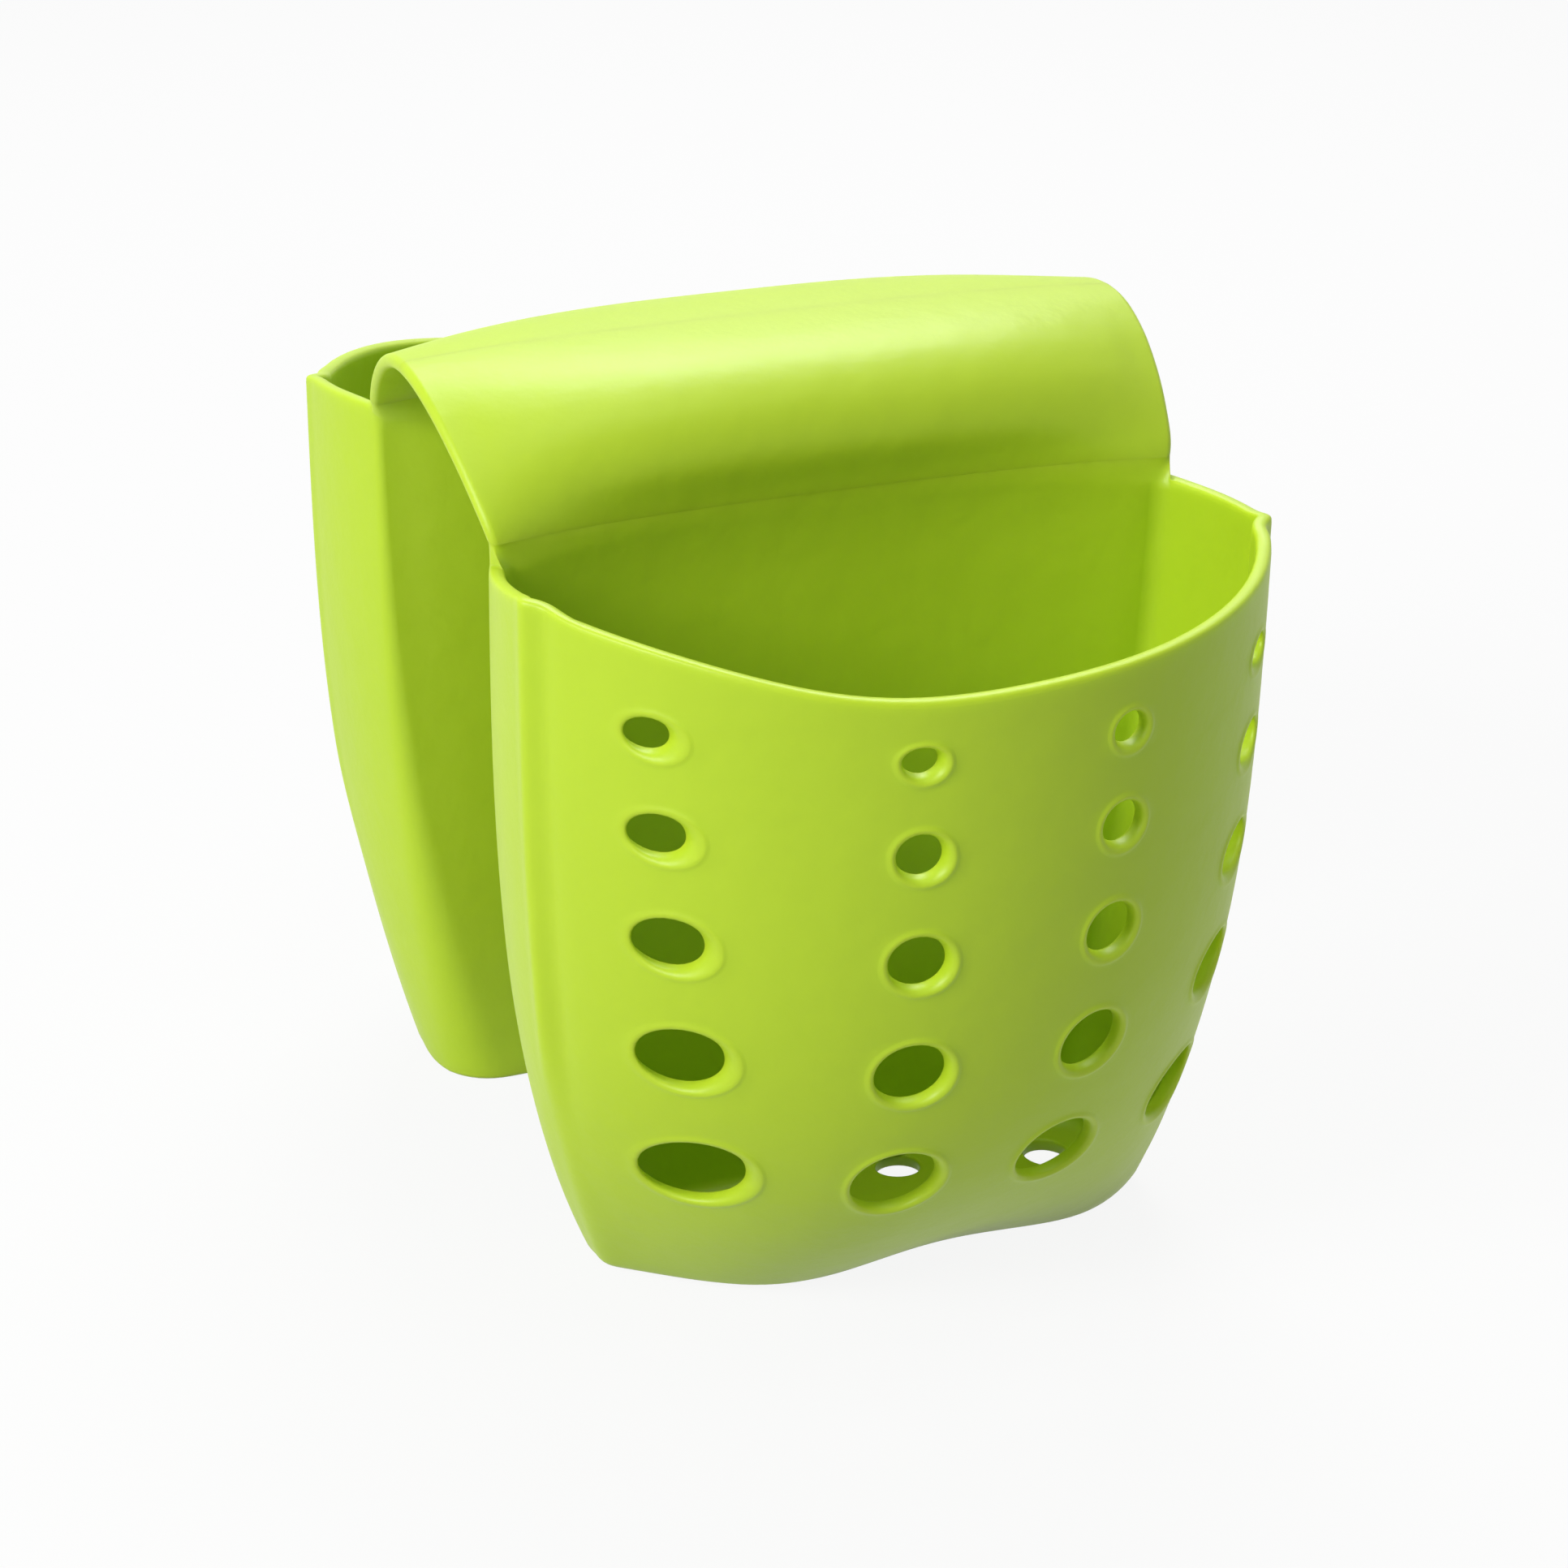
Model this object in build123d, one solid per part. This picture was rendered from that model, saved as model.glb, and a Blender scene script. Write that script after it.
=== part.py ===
"""Kitchen sink caddy: two perforated pockets joined by a soft saddle that hangs over a sink divider.

Millimetres, +Z up.  The pockets stand on Z = 0 and the middle of the divider slot is the plane Y = 0.
The front pocket lies at -Y and the back pocket at +Y, and they are mirror images of each other.
"""
import os
from math import sqrt

from build123d import *

# Overall heights and walls
RIM_HEIGHT = 129.0            # floor underside to pocket rim
CROWN_RISE = 25.6             # rim to the top of the saddle, at mid width
WALL = 2.5                    # moulded wall of pockets and saddle
FLOOR_THICKNESS = 2.5

# Slot that takes the sink divider, measured to the outer faces of the two slot walls
SLOT_HALF_TOP = 31.0          # at rim level
SLOT_HALF_BOTTOM = 26.0       # the walls lean together downwards, which grips the divider

# Plan of a pocket at the rim and at the floor, measured on the outside
BACK_HALF_TOP = 60.0          # half width of the slot wall
BACK_HALF_BOTTOM = 45.0
EAR_HALF_TOP = 64.5           # half width at the ears, where side wall and front panel meet
EAR_HALF_BOTTOM = 50.0
EAR_REACH_TOP = 59.0          # ears, from the middle of the slot
EAR_REACH_BOTTOM = 44.5
FRONT_REACH_TOP = 103.0       # middle of the front panel, from the middle of the slot
FRONT_REACH_BOTTOM = 58.0
WIDTH_TUCK_POWER = 3.5        # how late the sides tuck in, going down
REACH_TUCK_POWER = 4.0        # how late the front tucks in, going down
CORNER_REACH_TOP = 1.5        # rounding of the corner of slot wall and side wall, measured along the walls
CORNER_REACH_BOTTOM = 7.0
CORNER_TUCK_POWER = 1.5       # how late the corner grows rounder, going down
INNER_CORNER_REACH_LEAST = 1.0
SECTION_SHARES = (0.09, 0.2, 0.34, 0.5, 0.72, 1.0)   # heights of the wall's sections, over the rim height

# Side wall and ear ridge: the edge of the side wall laps past the edge of the front panel
SIDE_BOW = 1.4                # the side wall bows outwards by this
EAR_STEP = 1.4                # the ridge stands proud of the panel by this
EAR_LAND = 4.0                # width of the ridge

# Round drain openings of the front panel, whose cores pull along Y
OPENING_DIAMETERS = (5.6, 7.2, 9.0, 11.2, 14.0)          # rows from the rim down
OPENING_HEIGHT_SHARES = (0.895, 0.771, 0.628, 0.465, 0.275)   # of the rim height
OPENING_COLUMNS = 4
OPENING_SPAN_SHARE_TOP = 0.81     # outer columns, as a share of the half width at the ears
OPENING_SPAN_SHARE_BOTTOM = 0.73
OPENING_LIP_RADIUS = 0.8      # rounding of the openings' outer edges
RIM_RADIUS = 1.0              # rounding of the pocket rim, inside and outside

# Drain openings of the floor
FLOOR_HOLE_DIAMETER = 8.0
FLOOR_HOLE_PLACES = ((10.0, 34.0), (37.0, 37.0))   # each side: from mid width, from the middle of the slot
FLOOR_EDGE_RADIUS = 0.9

# Saddle crown
CROWN_END_DROP = 3.5          # the crown is this much lower at its two ends
CROWN_FLARE = 5.0             # the crown is this much longer at its top than at its foot, at each end
CROWN_FULL_MIDDLE = 1.0       # how full the arch is: 1 has upright feet, 0 is a pointed roof
CROWN_FULL_END = 0.35
CROWN_STATIONS = 5            # profiles along the length of the crown
CROWN_END_RADIUS = 0.8        # rounding of the crown's two free ends
ARCH_CONTROL_SHARE = 4 / 3    # control point of a cubic arch, over its rise

CUT_OVERRUN = 4.0             # cutters run this far past what they cut


def tucked(top, bottom, power, height):
    """Size at a height: the size at the rim, drawn in to the size at the floor late on the way down."""
    return top - (top - bottom) * (1 - height / RIM_HEIGHT) ** power


def slot_half(height):
    """Distance from the middle of the slot to the outer face of a slot wall."""
    return SLOT_HALF_BOTTOM + (SLOT_HALF_TOP - SLOT_HALF_BOTTOM) * height / RIM_HEIGHT


def back_corner(height):
    """Outer corner of slot wall and side wall."""
    return Vector(tucked(BACK_HALF_TOP, BACK_HALF_BOTTOM, WIDTH_TUCK_POWER, height), -slot_half(height), height)


def ear_corner(height):
    """Outer end of the face where side wall and front panel meet."""
    half = tucked(EAR_HALF_TOP, EAR_HALF_BOTTOM, WIDTH_TUCK_POWER, height)
    reach = tucked(EAR_REACH_TOP, EAR_REACH_BOTTOM, REACH_TUCK_POWER, height)
    return Vector(half, -reach, height)


def side_directions(height):
    """Unit vectors along the side wall, from slot wall to ear, and out of it."""
    run = (ear_corner(height) - back_corner(height)).normalized()
    return run, Vector(-run.Y, run.X)


def front_middle(height):
    """Outermost point of the front panel."""
    reach = tucked(FRONT_REACH_TOP, FRONT_REACH_BOTTOM, REACH_TUCK_POWER, height)
    return Vector(0, -reach, height)


def level_wall(height):
    """Wall of the front panel measured level, so that the leaning part keeps its thickness."""
    lean = (FRONT_REACH_TOP - FRONT_REACH_BOTTOM) * REACH_TUCK_POWER / RIM_HEIGHT
    lean = lean * (1 - height / RIM_HEIGHT) ** (REACH_TUCK_POWER - 1)
    return WALL * sqrt(1 + lean ** 2)


def across(point):
    """The same point on the other side of the middle plane X = 0."""
    return Vector(-point.X, point.Y, point.Z)


def rounded_corner(corner, run, reach):
    """Points of a rounding between the slot wall and the side wall: on the slot wall, midway, on the side wall."""
    slot_end = corner - Vector(reach, 0, 0)
    side_end = corner + run * reach
    chord_middle = (slot_end + side_end) / 2
    half_chord = (side_end - slot_end).length / 2
    depth = (chord_middle - corner).length
    bulge = half_chord * (reach - half_chord) / depth
    return slot_end, chord_middle + (corner - chord_middle).normalized() * bulge, side_end


def side_and_slot_section(height):
    """Channel outline at a height: slot wall, two side walls and the ridges at their free edges."""
    run, out = side_directions(height)
    corner = back_corner(height)
    reach = tucked(CORNER_REACH_TOP, CORNER_REACH_BOTTOM, CORNER_TUCK_POWER, height)
    ear = ear_corner(height)
    ridge_start = ear - run * EAR_LAND + out * EAR_STEP
    ridge_top = ear - run * (EAR_LAND / 4) + out * EAR_STEP
    inner_ear = ear - out * WALL
    inner_corner = corner - out * WALL - run * (WALL * (1 - out.Y) / run.Y)
    slot_end, corner_middle, side_end = rounded_corner(corner, run, reach)
    inner_reach = max(reach - WALL, INNER_CORNER_REACH_LEAST)
    inner_slot_end, inner_corner_middle, inner_side_end = rounded_corner(inner_corner, run, inner_reach)
    outer_bow = (side_end + ridge_start) / 2 + out * SIDE_BOW
    inner_bow = (inner_side_end + inner_ear) / 2 + out * SIDE_BOW
    edges = [
        Line(across(slot_end), slot_end),
        ThreePointArc(slot_end, corner_middle, side_end),
        ThreePointArc(side_end, outer_bow, ridge_start),
        ThreePointArc(ridge_start, ridge_top, ear),
        Line(ear, inner_ear),
        ThreePointArc(inner_ear, inner_bow, inner_side_end),
        ThreePointArc(inner_side_end, inner_corner_middle, inner_slot_end),
        Line(inner_slot_end, across(inner_slot_end)),
        ThreePointArc(across(inner_slot_end), across(inner_corner_middle), across(inner_side_end)),
        ThreePointArc(across(inner_side_end), across(inner_bow), across(inner_ear)),
        Line(across(inner_ear), across(ear)),
        ThreePointArc(across(ear), across(ridge_top), across(ridge_start)),
        ThreePointArc(across(ridge_start), across(outer_bow), across(side_end)),
        ThreePointArc(across(side_end), across(corner_middle), across(slot_end)),
    ]
    return Wire(edges)


def panel_section(height):
    """Bowed band at a height: the front panel between the two ears."""
    out = side_directions(height)[1]
    ear = ear_corner(height)
    inner_ear = ear - out * WALL
    middle = front_middle(height)
    inner_middle = middle + Vector(0, level_wall(height), 0)
    edges = [
        ThreePointArc(across(ear), middle, ear),
        Line(ear, inner_ear),
        ThreePointArc(inner_ear, inner_middle, across(inner_ear)),
        Line(across(inner_ear), across(ear)),
    ]
    return Wire(edges)


def floor_section(height):
    """Whole outline of a pocket at a height."""
    run = side_directions(height)[0]
    reach = tucked(CORNER_REACH_TOP, CORNER_REACH_BOTTOM, CORNER_TUCK_POWER, height)
    slot_end, corner_middle, side_end = rounded_corner(back_corner(height), run, reach)
    ear = ear_corner(height)
    edges = [
        Line(across(slot_end), slot_end),
        ThreePointArc(slot_end, corner_middle, side_end),
        Line(side_end, ear),
        ThreePointArc(ear, front_middle(height), across(ear)),
        Line(across(ear), across(side_end)),
        ThreePointArc(across(side_end), across(corner_middle), across(slot_end)),
    ]
    return Wire(edges)


def wall_heights():
    """Heights of the sections, from the top of the floor to the rim."""
    return [FLOOR_THICKNESS] + [RIM_HEIGHT * share for share in SECTION_SHARES]


def spread(count, pitch):
    """Places of a row of holes, centred on zero."""
    return [(index - (count - 1) / 2) * pitch for index in range(count)]


def opening_pitch(height_share):
    """Column pitch of the panel openings in the row at a share of the rim height."""
    way_up = (height_share - OPENING_HEIGHT_SHARES[-1]) / (OPENING_HEIGHT_SHARES[0] - OPENING_HEIGHT_SHARES[-1])
    span_share = OPENING_SPAN_SHARE_BOTTOM + (OPENING_SPAN_SHARE_TOP - OPENING_SPAN_SHARE_BOTTOM) * way_up
    half = ear_corner(RIM_HEIGHT * height_share).X
    return 2 * half * span_share / (OPENING_COLUMNS - 1)


def along_y(diameter, x, z):
    """Core that cuts a round opening through the front panel."""
    reach_near = EAR_REACH_BOTTOM / 2
    reach_far = FRONT_REACH_TOP + CUT_OVERRUN
    middle = (reach_near + reach_far) / 2
    core = Cylinder(diameter / 2, reach_far - reach_near, rotation=(90, 0, 0))
    return Pos(x, -middle, z) * core


def rim_edges(shape):
    """Long edges at rim level that run forward or across a pocket, without those of the slot wall."""
    top_edges = shape.edges().group_by(Axis.Z)[-1]
    return top_edges.filter_by(lambda edge: edge.length > 2 * WALL and edge.geom_type != GeomType.LINE)


def slot_and_sides():
    """Slot wall with the two side walls that turn forward from it."""
    channel = Solid.make_loft([side_and_slot_section(height) for height in wall_heights()])
    return fillet(rim_edges(channel), RIM_RADIUS)


def outer_opening_edges(panel):
    """Outer edge of each opening of the panel: of the two edges of a core, the one farther out."""
    farthest = {}
    for edge in panel.edges():
        middle = edge.bounding_box().center()
        core = (round(middle.X), round(middle.Z))
        if edge.is_closed and middle.Y < farthest.get(core, (0, None))[0]:
            farthest[core] = (middle.Y, edge)
    return [edge for reach, edge in farthest.values()]


def perforated_panel():
    """Bowed front panel with its rows of openings, which grow downwards."""
    panel = Solid.make_loft([panel_section(height) for height in wall_heights()])
    panel = fillet(rim_edges(panel), RIM_RADIUS)
    cores = []
    for height_share, diameter in zip(OPENING_HEIGHT_SHARES, OPENING_DIAMETERS):
        for place in spread(OPENING_COLUMNS, opening_pitch(height_share)):
            cores.append(along_y(diameter, place, RIM_HEIGHT * height_share))
    panel = panel - cores
    return fillet(outer_opening_edges(panel), OPENING_LIP_RADIUS)


def drained_floor():
    """Floor plate that carries the walls, with its drain openings."""
    plate = Solid.make_loft([floor_section(0), floor_section(FLOOR_THICKNESS)])
    bottom_edges = plate.edges().group_by(Axis.Z)[0]
    plate = fillet(bottom_edges, FLOOR_EDGE_RADIUS)
    drill = Cylinder(FLOOR_HOLE_DIAMETER / 2, FLOOR_THICKNESS + 2 * CUT_OVERRUN)
    drills = []
    for place, reach in FLOOR_HOLE_PLACES:
        for side in (-1, 1):
            drills.append(Pos(side * place, -reach, FLOOR_THICKNESS / 2) * drill)
    return plate - drills


def arch(half, rise, fullness, x):
    """Arch over the slot in the plane of a station, from back foot to front foot."""
    control_height = RIM_HEIGHT + rise * ARCH_CONTROL_SHARE
    return Bezier(
        Vector(x, half, RIM_HEIGHT),
        Vector(x, half * fullness, control_height),
        Vector(x, -half * fullness, control_height),
        Vector(x, -half, RIM_HEIGHT),
    )


def crown_section(x, half_length):
    """Arched band of the saddle at one station along its length."""
    end_share = (x / half_length) ** 2
    rise = CROWN_RISE - CROWN_END_DROP * end_share
    fullness = CROWN_FULL_MIDDLE - (CROWN_FULL_MIDDLE - CROWN_FULL_END) * end_share
    outside = arch(SLOT_HALF_TOP + WALL, rise, fullness, x)
    inside = arch(SLOT_HALF_TOP, rise - WALL, fullness, x)
    edges = [
        outside,
        Line(outside @ 1, inside @ 1),
        inside,
        Line(inside @ 0, outside @ 0),
    ]
    return Wire(edges)


def end_edges(band):
    """Long curved edges of the crown's two free ends."""
    curved = band.edges().filter_by(lambda edge: edge.geom_type != GeomType.LINE)
    return curved.filter_by(lambda edge: abs(edge.center().X) > BACK_HALF_TOP - CROWN_FLARE)


def saddle_crown():
    """Saddle over the slot: an arch that is also bowed along its length, with flared ends."""
    half_length = BACK_HALF_TOP + CROWN_FLARE + CUT_OVERRUN
    stations = spread(CROWN_STATIONS, 2 * half_length / (CROWN_STATIONS - 1))
    band = Solid.make_loft([crown_section(x, half_length) for x in stations])
    reach = SLOT_HALF_TOP + WALL + CUT_OVERRUN
    top_half = BACK_HALF_TOP + CROWN_FLARE
    corners = [
        (-BACK_HALF_TOP, RIM_HEIGHT),
        (BACK_HALF_TOP, RIM_HEIGHT),
        (top_half, RIM_HEIGHT + CROWN_RISE),
        (-top_half, RIM_HEIGHT + CROWN_RISE),
    ]
    keep = extrude(Plane.XZ * Polygon(corners, align=None), amount=reach, both=True)
    crown = band & keep
    return fillet(end_edges(crown), CROWN_END_RADIUS)


def write(shape, node):
    """Write one sub-part, and print its volume for a check by eye."""
    export_step(shape, "parts/" + node + ".step")
    print(node, round(shape.volume), shape.bounding_box().size)


def main():
    """Build the pockets and the saddle and write one file for each sub-part."""
    os.makedirs("parts", exist_ok=True)
    write(saddle_crown(), "saddle_crown")
    front_pieces = {
        "slot_wall": slot_and_sides(),
        "perforated_panel": perforated_panel(),
        "floor": drained_floor(),
    }
    for name, piece in front_pieces.items():
        write(piece, "front_" + name)
        write(mirror(piece, about=Plane.XZ), "back_" + name)


main()
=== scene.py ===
"""Looks of the kitchen sink caddy: two perforated pockets under one soft saddle, moulded in lime plastic.

Sizes are in millimetres until a mesh is made.  A pocket is worked out in x, depth and height, where depth is
the distance from the middle of the slot, so that one plan serves both.  Each gets its own rim line and sway.
"""
import logging
import math
from dataclasses import dataclass, field
from enum import Enum
from typing import Any, Callable

import bmesh
import bpy
import numpy as np
from bmesh.types import BMEdge, BMesh
from bpy.types import Material, NodeSocket, Object, World
from mathutils import Matrix, Vector


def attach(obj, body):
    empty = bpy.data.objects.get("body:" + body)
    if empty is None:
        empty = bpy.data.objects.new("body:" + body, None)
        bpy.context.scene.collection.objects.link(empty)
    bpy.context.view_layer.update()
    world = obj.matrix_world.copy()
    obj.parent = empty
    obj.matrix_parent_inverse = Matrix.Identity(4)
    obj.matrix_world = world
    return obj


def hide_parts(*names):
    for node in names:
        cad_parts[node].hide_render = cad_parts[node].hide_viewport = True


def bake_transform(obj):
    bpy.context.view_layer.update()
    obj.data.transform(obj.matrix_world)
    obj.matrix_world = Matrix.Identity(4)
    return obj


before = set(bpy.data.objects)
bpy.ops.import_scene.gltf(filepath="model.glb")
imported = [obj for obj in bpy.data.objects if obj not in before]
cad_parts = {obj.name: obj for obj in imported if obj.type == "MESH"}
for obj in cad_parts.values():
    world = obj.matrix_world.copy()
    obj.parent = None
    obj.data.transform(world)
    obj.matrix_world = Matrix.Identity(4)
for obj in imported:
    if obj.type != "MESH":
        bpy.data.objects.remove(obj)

MM = 0.001
TINY = 1e-9
JOIN_DISTANCE = 0.003
RIM_HEIGHT = 129.0
PHOTO_PIXELS = 1932
LOG = logging.getLogger("caddy")

Array = np.ndarray
Points = tuple[tuple[float, float], ...]
Face = tuple[Array, int, int]


# Helpers for numbers and meshes


def smooth_step(share: Array) -> Array:
    """Ease a share between 0 and 1 in and out."""
    held = np.clip(share, 0.0, 1.0)
    return held * held * (3.0 - 2.0 * held)


def line_lengths(points: Array) -> Array:
    """Length along a line, from its first point."""
    steps = np.linalg.norm(np.diff(points, axis=0), axis=1)
    return np.concatenate(([0.0], np.cumsum(steps)))


def interpolated(wanted: Array, along: Array, table: Array) -> Array:
    """Rows of a table at the wanted places along it."""
    return np.stack([np.interp(wanted, along, column) for column in table.T], axis=1)


def at_lengths(points: Array, wanted: Array) -> Array:
    """Points of a line at the wanted lengths along it."""
    return interpolated(wanted, line_lengths(points), points)


def left_normals(points: Array) -> Array:
    """Unit normals to the left of a plane line."""
    turned = np.gradient(points, axis=0)[:, ::-1] * (-1.0, 1.0)
    return turned / np.linalg.norm(turned, axis=1, keepdims=True)


def relaxed(points: Array, rounds: int) -> Array:
    """Line of points rounded by repeated averaging.

    Args:
        points: Points or values at even steps.
        rounds: How often they are averaged with their neighbours.

    Returns:
        The rounded line, with the same two ends.
    """
    calm = points.copy()
    for _ in range(rounds):
        calm[1:-1] = 0.25 * calm[:-2] + 0.5 * calm[1:-1] + 0.25 * calm[2:]
    return calm


def uncrossed(line: Array, reach: int = 40, margin: int = 8) -> Array:
    """Plane line without the small loop that a tight corner leaves in it.

    Args:
        line: Plane points.
        reach: Longest loop looked for, in points.
        margin: Points beside the loop that are spaced afresh.

    Returns:
        A line with as many points.
    """
    for first in range(len(line) - 3):
        run = line[first + 1] - line[first]
        for last in range(min(first + reach, len(line) - 2), first + 1, -1):
            other = line[last + 1] - line[last]
            between = line[last] - line[first]
            turn = run[0] * other[1] - run[1] * other[0]
            if abs(turn) < TINY:
                continue
            here = (between[0] * other[1] - between[1] * other[0]) / turn
            there = (between[0] * run[1] - between[1] * run[0]) / turn
            if 0.0 <= here <= 1.0 and 0.0 <= there <= 1.0:
                low, high = max(first - margin, 0), min(last + 1 + margin, len(line) - 1)
                meeting = (line[first] + here * run)[None]
                short = np.concatenate([line[low:first + 1], meeting, line[last + 1:high + 1]])
                wanted = np.linspace(0.0, line_lengths(short)[-1], high - low + 1)
                return np.concatenate([line[:low], at_lengths(short, wanted), line[high + 1:]])
    return line


def corner_curve(start: Array, corner: Array, end: Array, steps: int) -> Array:
    """Points of a rounding in place of the sharp corner between start and end."""
    share = np.linspace(0.0, 1.0, steps + 1)[:, None]
    return (1 - share) ** 2 * start + 2 * share * (1 - share) * corner + share ** 2 * end


def linked(name: str, data: Any) -> Object:
    """Make an object.

    Args:
        name: Its name.
        data: Its mesh, light or camera data.

    Returns:
        The new object, in the scene's collection.
    """
    made = bpy.data.objects.new(name, data)
    bpy.context.scene.collection.objects.link(made)
    return made


class Skin:
    """Points and faces of one piece, gathered patch by patch."""

    def __init__(self) -> None:
        """Start with no points."""
        self.points: list[Array] = []
        self.faces: list[tuple[int, ...]] = []
        self.count = 0

    def patch(self, rows: Array, closed: bool = False) -> None:
        """Add a grid of four-sided faces.

        Args:
            rows: Points in rows and columns, in x, depth and height.
            closed: Whether the last column is joined to the first.
        """
        row_count, column_count = rows.shape[:2]
        self.points.append(rows.reshape(-1, 3))
        for row in range(row_count - 1):
            low = self.count + row * column_count
            high = low + column_count
            for column in range(column_count if closed else column_count - 1):
                after = (column + 1) % column_count
                self.faces.append((low + column, low + after, high + after, high + column))
        self.count += row_count * column_count

    def mirrored(self) -> None:
        """Add the same patches beyond the plane x = 0."""
        self.points.append(np.concatenate(self.points) * (-1.0, 1.0, 1.0))
        self.faces += [tuple(self.count + corner for corner in reversed(face)) for face in self.faces]
        self.count *= 2

    def mesh(self, name: str, side: "Side", fill: Callable[[BMesh], None] | None = None) -> Object:
        """Make the piece's object.

        Args:
            name: Name of the piece.
            side: Its side of the slot.
            fill: Work on the joined mesh before it is scaled.

        Returns:
            The new object, smooth shaded.
        """
        data = bpy.data.meshes.new(name)
        data.from_pydata(np.concatenate(self.points).tolist(), [], self.faces)
        work = bmesh.new()
        work.from_mesh(data)
        bmesh.ops.remove_doubles(work, verts=work.verts, dist=JOIN_DISTANCE)
        if fill is not None:
            fill(work)
        for vert in work.verts:
            vert.co = Vector((vert.co.x, side.value * vert.co.y, vert.co.z)) * MM
        bmesh.ops.recalc_face_normals(work, faces=work.faces)
        for face in work.faces:
            face.smooth = True
        work.to_mesh(data)
        work.free()
        return linked(name, data)


# Shader maths and finishes


def maths(operation: str, swapped: bool = False) -> Callable[["SocketMaths", Any], "SocketMaths"]:
    """Operator of a wrapped socket.

    Args:
        operation: Operation of the Math node.
        swapped: Whether the other value comes first.

    Returns:
        The operator's method.
    """
    def applied(self: "SocketMaths", other: Any) -> "SocketMaths":
        """Add the Math node on this value and another."""
        inputs = {0: other, 1: self} if swapped else {0: self, 1: other}
        return self.bench.add("Math", {"operation": operation}, inputs)

    return applied


class SocketMaths:
    """A shader value whose operators add Math nodes."""

    __add__, __radd__ = maths("ADD"), maths("ADD", True)
    __sub__, __rsub__ = maths("SUBTRACT"), maths("SUBTRACT", True)
    __mul__, __rmul__ = maths("MULTIPLY"), maths("MULTIPLY", True)

    def __init__(self, bench: "NodeBench", socket: NodeSocket) -> None:
        """Wrap a socket of the bench's node tree."""
        self.bench = bench
        self.socket = socket

    def held(self) -> "SocketMaths":
        """This value kept between 0 and 1."""
        return self.bench.add("Clamp", {}, {0: self})


class NodeBench:
    """A material's or the world's node tree, and the one way to add a node."""

    def __init__(self, owner: Material | World) -> None:
        """Take over and empty the owner's node tree.

        Args:
            owner: The material or the world.
        """
        owner.use_nodes = True
        self.owner = owner
        self.tree = owner.node_tree
        self.tree.nodes.clear()

    def add(
        self, kind: str, settings: dict[str, Any], inputs: dict[Any, Any], output: Any = 0
    ) -> SocketMaths:
        """Add a node.

        Args:
            kind: Type of the node, after ShaderNode.
            settings: Its settings, set first.
            inputs: A value or a wrapped socket for each input.
            output: The output handed back, or None for the last node.

        Returns:
            The wrapped output, if one was asked for.
        """
        node = self.tree.nodes.new("ShaderNode" + kind)
        for name, value in settings.items():
            setattr(node, name, value)
        for key, value in inputs.items():
            if isinstance(value, SocketMaths):
                self.tree.links.new(value.socket, node.inputs[key])
            else:
                node.inputs[key].default_value = value
        return None if output is None else SocketMaths(self, node.outputs[output])

    def mixed(self, share: Any, first: Any, second: Any) -> SocketMaths:
        """Colour between the first, at share 0, and the second."""
        return self.add("Mix", {"data_type": "RGBA"}, {0: share, 6: first, 7: second}, 2)

    def background_share(self) -> SocketMaths:
        """Share of the surface's plain background look.

        Returns:
            1 where it is seen, in a mirror or through glass too, and 0 where it lights.
        """
        seen = self.add("LightPath", {}, {}, "Is Camera Ray")
        outputs = seen.socket.node.outputs
        others = (SocketMaths(self, outputs[name]) for name in ("Is Glossy Ray", "Is Transmission Ray"))
        return sum(others, seen).held()

    def finish_with(self, shader: SocketMaths) -> Material | World:
        """Lead a shader to the output.

        Args:
            shader: The finished shader.

        Returns:
            The tree's owner.
        """
        kind = "OutputWorld" if isinstance(self.owner, World) else "OutputMaterial"
        self.add(kind, {}, {"Surface": shader}, None)
        return self.owner


class Colour(Enum):
    """Colours as linear red, green and blue."""

    LIME = (0.415, 0.580, 0.016, 1.0)
    LIME_DEEP = (0.385, 0.550, 0.012, 1.0)
    LIME_PALE = (0.450, 0.615, 0.024, 1.0)
    WHITE = (1.0, 1.0, 1.0, 1.0)
    PALE_GREY = (0.60, 0.60, 0.60, 1.0)


@dataclass(frozen=True)
class Noise:
    """A noise pattern and how much of it shows."""

    scale: float
    detail: float
    strength: float
    depth: float

    def made(self, bench: NodeBench, place: SocketMaths) -> SocketMaths:
        """Add the pattern's node."""
        inputs = {"Vector": place, "Scale": self.scale, "Detail": self.detail}
        return bench.add("TexNoise", {}, inputs)

    def bump(self, bench: NodeBench, height: SocketMaths, below: dict[str, SocketMaths]) -> SocketMaths:
        """Add the pattern's bump, over a normal below it if there is one."""
        inputs = {"Strength": self.strength, "Distance": self.depth, "Height": height, **below}
        return bench.add("Bump", {}, inputs)


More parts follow.
